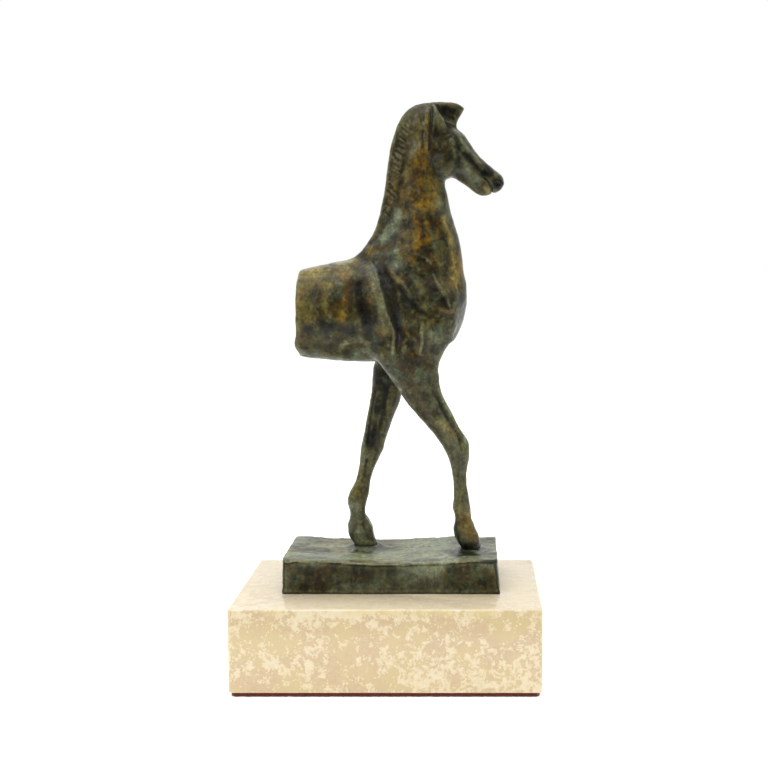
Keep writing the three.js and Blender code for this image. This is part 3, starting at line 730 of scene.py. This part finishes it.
def tint_horse(skin):
    """Where the patina was rubbed back, left dark, or has gone green; the thin
    pale lines along ridges are painted highlights, and the dark strokes along
    creases are painted shade. Each wash is its strength, its width in
    millimetres and the line it follows."""
    washes = {
        "olive": [
            (1.1, 3.0, [(-31, 147.2), (-22.6, 148.3), (-14, 149.4)]),
            (0.7, 3.0, [(-31, 142.5), (-21.8, 142.9)]),
            (0.55, 3.0, [(-30, 136), (-29, 129)]),
            (0.5, 2.0, [(-23, 139), (-22, 132)]),
            (0.8, 1.4, [(13.2, 131.2), (15.6, 129.6)]),
            (1.2, 1.5, [(-2.6, 126.4), (-0.2, 126.6)]),
            (0.4, 1.4, [(-17.0, 119.9), (-14.3, 122.7), (-11.1, 123.6)]),
            (0.35, 3.0, [(10, 203), (9.2, 196), (7.8, 187), (4.6, 175)]),
            (0.8, 2.0, [(7.6, 161.0), (7.2, 157.7), (5.4, 154.0)]),
            (1.0, 1.1, [(20.2, 167), (21.8, 162.2), (22.6, 156.8), (24.0, 150.6)]),
            (1.1, 2.6, [(25.2, 149), (24.4, 146.0), (23.3, 142.4)]),
            (0.5, 2.4, [(15.6, 178), (16.4, 172)]),
            (0.6, 1.6, [(12, 147), (12.6, 143)]),
            (0.3, 2.4, [(-11, 72), (-12.4, 66), (-14, 62)]),
            (0.9, 1.5, [(35.8, 177), (34, 178.8)]),
            (0.6, 2.4, [(27.0, 57), (29.4, 52)]),
            (0.7, 1.4, [(19.2, 92.4), (22.1, 88.9)]),
        ],
        "ochre": [
            (1.2, 3.4, [(10.6, 190), (10.3, 178.6), (12.4, 171.5)]),
            (1.1, 2.0, [(10.0, 169), (11.4, 162.2), (10.8, 157.7), (8.3, 152.8)]),
            (0.8, 2.4, [(13.6, 165), (13.6, 158)]),
            (0.6, 2.0, [(15.3, 184), (16.0, 176)]),
            (0.5, 1.8, [(7, 182), (5.6, 172), (5, 168)]),
            (0.6, 1.4, [(2.8, 186), (1.6, 178), (0, 170)]),
            (0.9, 1.0, [(14.5, 207), (13.9, 199), (14, 190)]),
            (0.7, 1.0, [(18.4, 167), (18.0, 160.5)]),
            (0.85, 1.9, [(-15.6, 146), (-14.8, 140.7), (-15.5, 136.2), (-16.9, 130.4)]),
            (0.9, 1.0, [(-7.6, 149), (-6.4, 143.2)]),
            (0.6, 1.6, [(-6.0, 142.5), (-6.5, 136.2)]),
            (0.7, 1.4, [(-7.0, 154.6), (-4.1, 155.9), (-1.4, 156.6)]),
            (0.9, 1.2, [(-31.2, 142.4), (-32.0, 136.4)]),
            (0.5, 1.6, [(-31.2, 126.4), (-31, 123.6)]),
            (0.5, 2.0, [(25.4, 153), (26.4, 147)]),
            (0.6, 1.0, [(0.4, 148.6), (2.4, 146), (4.6, 144.2)]),
            (0.6, 1.0, [(18.3, 134.4), (20.9, 133.6), (23.2, 133.3)]),
            (0.7, 1.0, [(15.6, 153.2), (17.8, 150.8)]),
            (1.0, 2.2, [(28.2, 56.4), (29.9, 52), (31.4, 48.8)]),
            (0.25, 1.6, [(-14, 64), (-12.4, 66)]),
            (0.35, 1.6, [(22, 92), (24.6, 87)]),
            (0.5, 2.0, [(6.4, 127), (8.4, 123), (10, 119)]),
        ],
        "dark_patina_and_shade": [
            (0.95, 2.6, [(-9.6, 147.0), (-11.2, 140.7), (-9.9, 136.2), (-7.0, 128.0), (-5.4, 122)]),
            (0.6, 1.6, [(-20.6, 139), (-19.4, 137)]),
            (1.0, 2.4, [(-29, 127.1), (-20.6, 127.8), (-13, 126.0)]),
            (0.6, 1.8, [(-30.4, 120.9), (-24.3, 120.6), (-19.4, 120.6)]),
            (0.85, 2.2, [(-1.2, 149.0), (0.8, 143.1), (2.4, 137), (3.4, 131), (5.0, 124)]),
            (0.7, 2.0, [(28, 137), (27, 129), (23.4, 121)]),
            (0.8, 2.4, [(5, 138.6), (8, 131), (8.4, 121)]),
            (0.8, 1.8, [(4.4, 142), (9.4, 136), (14.4, 131.6)]),
            (0.85, 2.2, [(10.3, 147.4), (15.2, 141.9), (19.8, 137.2)]),
            (0.75, 1.8, [(21.0, 140.8), (24.5, 138.5), (26.5, 135.0)]),
            (0.8, 1.8, [(8.6, 154.1), (12.6, 154.4), (14.8, 156.0)]),
            (0.7, 1.7, [(14.6, 168.6), (15.6, 166.0), (16.8, 162.6)]),
            (0.5, 1.2, [(12.2, 166), (12.8, 160)]),
            (0.6, 1.4, [(23.6, 166.4), (26.0, 156)]),
            (0.75, 2.4, [(24.4, 195), (25.2, 189.2), (25.5, 184)]),
            (0.5, 4.2, [(20, 189.0), (20.6, 186.0)]),
            (0.6, 2.4, [(17.4, 203), (18, 196)]),
            (0.85, 2.6, [(19.6, 206), (24.6, 205.0)]),
            (0.95, 2.8, [(-3.0, 110.6), (-4.4, 100.2), (-6.2, 91), (-8.2, 82)]),
            (0.7, 2.4, [(29.6, 189), (33, 185)]),
            (1.6, 3.2, [(35.6, 184.4), (38.6, 181.4), (41.2, 178)]),
            (0.5, 2.4, [(26.2, 80), (25.6, 70)]),
            (0.4, 3.0, [(22, 122), (24, 128)]),
            (0.4, 2.2, [(-8, 80), (-10, 73), (-12, 66)]),
            (0.5, 0.8, [(17.0, 103.4), (19.2, 97.8), (22.7, 91.2), (25.8, 86), (26.4, 81)]),
            (1.3, 1.7, [(26.4, 45.6), (34.2, 45.6)]),
            (0.8, 1.0, [(23.6, 55), (25.0, 49.7), (26.8, 46)]),
        ],
        "verdigris_and_highlight": [
            (0.7, 0.5, [(-6.8, 151.5), (-4.3, 147), (-2.6, 140.6), (0.1, 131.3), (2.1, 125.1), (1.6, 118)]),
            (0.4, 1.8, [(-7.0, 149), (-5.4, 144), (-4.2, 139), (-2.0, 132)]),
            (0.8, 0.5, [(18.2, 105), (20.4, 99.4), (23.9, 93.2), (27.2, 88), (28.2, 83)]),
            (0.8, 0.6, [(-6.9, 106), (-8.2, 98.2), (-9.3, 90.8), (-10.3, 83), (-10.8, 75)]),
            (0.85, 1.7, [(3.4, 168.6), (1.2, 164), (-1.8, 159.4)]),
            (0.7, 0.9, [(-5.5, 154.0), (-0.5, 154.1), (3.1, 155.3)]),
            (0.6, 1.3, [(10, 193.4), (8.6, 189.8)]),
            (0.5, 1.8, [(19.6, 172), (21.6, 168)]),
            (0.7, 1.0, [(-18.2, 143.4), (-17.2, 143.4)]),
            (0.6, 1.0, [(-17.3, 150.1), (-15.3, 150.1)]),
            (0.6, 1.8, [(2.2, 149.9), (4.2, 149.5)]),
            (0.4, 2.2, [(16.2, 126), (18.3, 122), (17.7, 116)]),
            (0.25, 4.0, [(13, 108), (18, 98), (22.6, 88), (25.6, 76)]),
            (0.15, 3.4, [(25.6, 76), (25.4, 68), (26.6, 58)]),
            (0.65, 3.0, [(-14, 58), (-12.6, 50), (-11, 44)]),
            (0.6, 1.0, [(-17.5, 119.9), (-14.3, 122.9), (-11.1, 123.8), (-7.5, 122.4)]),
            (0.5, 1.8, [(-12.2, 118.1), (-7.5, 118.5)]),
            (0.85, 2.2, [(26.9, 185.0), (29.6, 182.6), (32.0, 180.6)]),
            (0.35, 0.9, [(-0.6, 190), (-2.4, 176), (-6, 161)]),
            (0.7, 0.4, [(16.4, 208), (18.2, 204.3), (20.8, 202.1), (24.2, 201)]),
            (0.7, 0.5, [(23.6, 199.2), (28.3, 192.4), (31.5, 188.6), (36, 184.2)]),
            (0.5, 0.4, [(14.9, 191), (15.9, 186.1), (17.5, 183.4), (21.1, 182.4)]),
            (0.8, 0.35, [(-33.0, 145.6), (-33.4, 143.2), (-33.4, 140.6)]),
            (0.7, 0.7, [(-6.9, 115.2), (-4.4, 111.8), (-0.4, 110.1), (2.2, 108.3), (4.2, 104.5)]),
            (0.7, 0.4, [(12.8, 130.2), (12.1, 126.1), (12.4, 122.6), (11.5, 118)]),
            (0.4, 0.4, [(17.8, 143.6), (19.8, 140.6), (21.6, 137.2), (22.6, 134.4)]),
        ],
    }
    for name, strokes in washes.items():
        for strength, width, line in strokes:
            skin.tint(name, line, strength, width)


def make_horse():
    """The casting: smoothed where it is fleshy, then worked and tinted."""
    piece = copy_of("horse_figure", "horse")
    rebuild_evenly(piece, 0.47)
    thicken_mane(Skin(piece))
    rebuild_evenly(piece, 0.47)
    skin = Skin(piece)
    x, y, z = skin.at.T
    inside = np.hypot((y - MIDDLE_Y) / HOLLOW_Y, (z - BARREL_Z) / HOLLOW_Z) < 1
    hollow = inside & (x < 22)
    bulk = smooth_step((z - 104) / 10) * smooth_step((186 - z) / 8)
    bulk *= smooth_step((x + 31) / 4) * ~hollow
    thin = (abs(y - MIDDLE_Y) < 2.4) & (z > 156) & (x < 4)
    poll = np.exp(-(((x - 11) / 5) ** 2) - ((z - 198) / 7) ** 2)
    temple = 0.7 * np.exp(-(((x - 19) / 4) ** 2) - ((z - 198) / 4) ** 2)
    breast = np.exp(-(((x - 26) / 6) ** 2) - ((z - 122) / 12) ** 2) * ~hollow
    cheek = 0.8 * np.exp(-(((x - 19.5) / 5) ** 2) - ((z - 188) / 5) ** 2)
    lock_tip = np.exp(-(((x - 27.8) / 2) ** 2) - ((z - 206) / 2) ** 2)
    cut_rim = np.exp(-(((x + 33.5) / 1.6) ** 2)) * smooth_step((z - 141) / 5)
    skin.smooth(4)
    skin.smooth(15, np.maximum(lock_tip, cut_rim))
    skin.smooth(45, bulk * np.where(thin, 0.3, 1.0))
    skin.smooth(60, breast)
    skin.smooth(25, np.maximum.reduce([poll, temple, cheek]))
    shape_body(skin)
    skin.refresh()
    shape_legs(skin)
    shape_hooves(skin)
    shape_mane(skin)
    shape_head(skin)
    skin.refresh()
    skin.smooth(1, 0.6)
    tint_horse(skin)
    skin.roughen(0.22, 7.0, 1)
    skin.roughen(0.12, 2.6, 2)
    skin.roughen(0.05, 1.1, 3)
    skin.finish()
    return piece


# --------------------------------------------------------------------- plinth


def make_plinth():
    """A hand-modelled slab: an uneven top and sides, and a pale front lip that
    is a painted highlight, with painted shade under it.
    """
    piece = copy_of("bronze_plinth", "plinth")
    rebuild_evenly(piece, 0.5)
    skin = Skin(piece)
    skin.smooth(2)
    x, y, z = skin.at.T
    corner = np.minimum.reduce([x - PLINTH_LOW[0], PLINTH_HIGH[0] - x]) + y - PLINTH_LOW[1]
    skin.smooth(25, smooth_step((5 - corner) / 3) * (z > PLINTH_LOW[2] + 1.5))
    x, y, z = skin.at.T
    top = smooth_step((z - PLINTH_HIGH[2] + 3) / 1.5) * smooth_step(2 * skin.normal[:, 2])
    outside = (
        (x < PLINTH_LOW[0] + 2.2)
        | (x > PLINTH_HIGH[0] - 3.2)
        | (y < PLINTH_LOW[1] + 2.2)
        | (y > PLINTH_HIGH[1] - 2.2)
    )
    away = np.minimum.reduce(
        [np.hypot((x - at_x) / long, (y - at_y) / SOLE_HALF_WIDTH) for at_x, at_y, long in SOLES]
    )
    skin.smooth(70, top * np.exp(-(((away - 1.2) / 0.5) ** 2)))
    worked = np.maximum(top, outside)
    skin.roughen(0.4, 11, 11, np.maximum(top, 0.5 * outside))
    skin.roughen(0.16, 3.4, 12, worked)
    skin.roughen(0.07, 1.3, 13, worked)
    trowelled = noise(skin.at * [0.25, 1.0, 1], 3.2, 14)
    skin.at[:, 2] += 0.25 * trowelled * top
    ragged = 1 + 0.5 * noise(skin.at, 2.0, 20)
    fillet = top * np.exp(-(((away - 0.85) / 0.3) ** 2))
    skin.at[:, 2] += 0.4 * ragged * fillet
    skin.refresh()
    rim = np.exp(-(((z - PLINTH_HIGH[2] + 1.1) / 0.7) ** 2)) * outside
    skin.at += skin.normal * (0.12 * rim * (skin.normal[:, 2] < 0.6))[:, None]
    x, y, z = skin.at.T
    front = (skin.normal[:, 1] < -0.5) & (y < PLINTH_LOW[1] + 3)
    up = skin.normal[:, 2]
    lip = smooth_step((up - 0.3) / 0.2) * smooth_step((0.93 - up) / 0.2)
    lip *= (y < PLINTH_LOW[1] + 3) & (z > PLINTH_HIGH[2] - 3)
    shade_under_lip = lip
    for _ in range(4):
        shade_under_lip = skin.averaged(shade_under_lip)
    upper = smooth_step((z - PLINTH_LOW[2] - 4) / 6)
    lying = [0.6, 1, 1.5]  # clouds on the plinth are wider than they are high
    green = smooth_step(0.6 + 1.6 * noise(skin.at * lying, 8, 17)) * (0.4 + 0.6 * upper)
    skin.tints["verdigris_and_highlight"] = 0.85 * green
    # painted highlight along the front lip
    skin.tints["verdigris_and_highlight"] = np.maximum(skin.tints["verdigris_and_highlight"], 0.8 * lip)
    skin.tints["olive"] = 0.6 * top * smooth_step(0.5 + 1.5 * noise(skin.at, 9, 19))
    skin.tints["olive"] *= smooth_step(away - 1)
    streak = smooth_step(2.4 * noise(skin.at * [0.45, 1, 1], 6, 18))
    streak *= 0.6 + 0.6 * smooth_step((x - 5) / 20)
    cloudy = 0.38 * smooth_step(2 * noise(skin.at * lying, 6, 16))
    skin.tints["dark_patina_and_shade"] = np.where(top > 0.5, 0.75 * streak, np.maximum(cloudy, 0.22 * (1 - upper)))
    # the top is darker towards its right end
    darker_right_end = smooth_step((x - 16) / 16) * smooth_step(0.9 + noise(skin.at, 5, 24)) * top
    skin.tints["dark_patina_and_shade"] = np.maximum(skin.tints["dark_patina_and_shade"], 0.4 * darker_right_end)
    specks = smooth_step(3 * noise(skin.at, 5, 15) - 0.5)
    skin.tints["ochre"] = 0.42 * specks * np.where(front, upper, smooth_step(away - 1))
    # painted shade in front of each hoof
    near = np.zeros(skin.count)
    for toe_x, toe_y in TOE_SHADES:
        shade = np.exp(-(((x - toe_x) / 6) ** 2) - ((y - toe_y) / 4) ** 2) * top
        near = np.maximum(near, 0.7 * shade * (0.7 + 0.6 * noise(skin.at, 2.2, 23)))
    # painted shade on the front face just under the lip
    shade_under_lip = smooth_step(6 * shade_under_lip) * (up < 0.3) * front
    across, along = abs(skin.normal[:, 0]), abs(skin.normal[:, 1])
    corners = smooth_step((across - 0.25) / 0.2) * smooth_step((along - 0.25) / 0.2)
    foot = smooth_step((PLINTH_LOW[2] + 1.2 - z) / 0.8)
    # dark patina, with painted shade under the lip, in front of the toes and at the bead round each sole;
    # darker at the rounded corners and at the foot
    skin.tints["dark_patina_and_shade"] = np.maximum.reduce(
        [skin.tints["dark_patina_and_shade"], near, 0.85 * fillet, 0.8 * shade_under_lip, 0.9 * corners, 0.7 * foot]
    )
    skin.finish()
    return piece


# ------------------------------------------------------------- block and felt


def make_stone():
    """A sawn block, with its sharp edges just taken off."""
    piece = copy_of("stone_base", "stone")
    edge = piece.modifiers.new("arris", "BEVEL")
    edge.width = 0.18 * MM
    edge.segments = 2
    edge.limit_method = "ANGLE"
    edge.angle_limit = math.radians(30)
    apply_modifiers(piece)
    piece.data.shade_smooth()
    piece.data.set_sharp_from_angle(angle=math.radians(30))
    return piece


def make_felt():
    """Cut felt, with a fibrous edge. Smoothing shrinks it, so it is brought
    back to its cut size."""
    piece = copy_of("felt_pad", "felt")
    rebuild_evenly(piece, 0.5)
    skin = Skin(piece)
    skin.smooth(1)
    low, high = size_of("felt_pad")
    rim = 1 - smooth_step(
        np.minimum(
            np.minimum(skin.at[:, 0] - low[0], high[0] - skin.at[:, 0]),
            np.minimum(skin.at[:, 1] - low[1], high[1] - skin.at[:, 1]),
        )
        / 1.2
    )
    for i in (0, 1):
        ends = skin.at[:, i].min(), skin.at[:, i].max()
        skin.at[:, i] = np.interp(skin.at[:, i], ends, (low[i], high[i]))
    skin.roughen(0.12, 1.0, 21, rim)
    skin.roughen(0.10, 0.6, 22, rim)
    skin.at[:, 2] = np.clip(skin.at[:, 2], low[2], high[2])
    skin.refresh()
    piece.data.shade_smooth()
    return piece


# -------------------------------------------------------------- stage, lights


def plain(name, tone, rough, glow):
    """A pale grey paper that glows a little, so that it shows as white."""
    s = Shader(name)
    speck = s.noise(40, 3, 0.5)
    low, high = [colour(*(tone * k,) * 3) for k in (0.995, 1.0)]
    return s.set(
        base_color=s.mix(speck, low, high),
        roughness=rough,
        emission_color=high,
        emission_strength=glow,
    )


def make_floor():
    """It stops short of the viewer, so the bronze has something dark to mirror."""
    bpy.ops.mesh.primitive_plane_add(size=6, location=(0, 2.7, 0))
    floor = bpy.context.object
    floor.name = "floor"
    floor.data.materials.append(plain("white_paper", 0.93, 0.9, 0.38))


def make_light(name, place, towards, width, height, power):
    """A soft rectangular lamp, turned to face a point."""
    light = bpy.data.lights.new(name, "AREA")
    light.shape = "RECTANGLE"
    light.size, light.size_y = width, height
    light.energy = power
    holder = bpy.data.objects.new(name, light)
    bpy.context.scene.collection.objects.link(holder)
    holder.location = place
    way = np.array(towards) - np.array(place)
    yaw = math.atan2(way[1], way[0])
    pitch = math.atan2(way[2], math.hypot(way[0], way[1]))
    holder.rotation_euler = (math.pi / 2 + pitch, 0, yaw - math.pi / 2)
    return holder


def make_camera():
    lens = bpy.data.cameras.new("camera")
    lens.sensor_width = 36
    lens.lens = 59.6
    lens.shift_x = -0.1133
    lens.clip_start = 0.01
    camera = bpy.data.objects.new("camera", lens)
    bpy.context.scene.collection.objects.link(camera)
    camera.location = (0.030, -0.468, 0.1549)
    camera.rotation_euler = (math.pi / 2 - 0.1027, 0, 0)
    bpy.context.scene.camera = camera


# direction's y + 0.7 z: from and to, and the strength at each
WORLD_RAMP = (-0.9, 0.8, 0.14, 0.95)


def make_world():
    """White behind the object, and dimmer towards the viewer."""
    world = bpy.data.worlds.new("studio")
    world.use_nodes = True
    nodes, links = world.node_tree.nodes, world.node_tree.links
    way = nodes.new("ShaderNodeTexCoord").outputs["Generated"]
    parts = nodes.new("ShaderNodeSeparateXYZ")
    links.new(way, parts.inputs[0])
    rise = nodes.new("ShaderNodeMath")
    rise.operation = "MULTIPLY_ADD"
    rise.inputs[1].default_value = 0.7
    links.new(parts.outputs["Z"], rise.inputs[0])
    links.new(parts.outputs["Y"], rise.inputs[2])
    ramp = nodes.new("ShaderNodeMapRange")
    ramp.interpolation_type = "SMOOTHSTEP"
    links.new(rise.outputs[0], ramp.inputs["Value"])
    for name, number in zip(("From Min", "From Max", "To Min", "To Max"), WORLD_RAMP):
        ramp.inputs[name].default_value = number
    seen = nodes.new("ShaderNodeMath")
    seen.operation = "MAXIMUM"
    links.new(ramp.outputs[0], seen.inputs[0])
    links.new(nodes.new("ShaderNodeLightPath").outputs["Is Camera Ray"], seen.inputs[1])
    sky = nodes["Background"]
    sky.inputs["Color"].default_value = colour(1, 1, 1)
    links.new(seen.outputs[0], sky.inputs["Strength"])
    bpy.context.scene.world = world
    view = bpy.context.scene.view_settings
    view.view_transform = "Standard"
    view.look = "None"


# ------------------------------------------------------------------- assembly

patina = bronze()
horse = make_horse()
plinth = make_plinth()
for piece in (horse, plinth):
    piece.data.materials.append(patina)

stone = make_stone()
stone.data.materials.append(limestone())

pad = make_felt()
pad.data.materials.append(felt())

for piece in (horse, plinth, stone, pad):
    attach(piece, "root")

zinc = steel()
for name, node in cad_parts.items():
    if name.endswith(("_screw", "_washer")):
        node.data.materials.clear()
        node.data.materials.append(zinc)

make_floor()
make_world()
make_camera()
target = (0.005, 0, 0.12)
make_light("key", (-0.55, -0.75, 0.75), target, 0.6, 0.6, 2.6)
make_light("fill", (0.8, -0.6, 0.45), target, 0.5, 0.8, 0.7)
make_light("back", (0.1, 0.9, 0.9), target, 1.2, 0.6, 4)
make_light("top", (-0.1, -0.25, 1.1), target, 0.9, 0.6, 5)
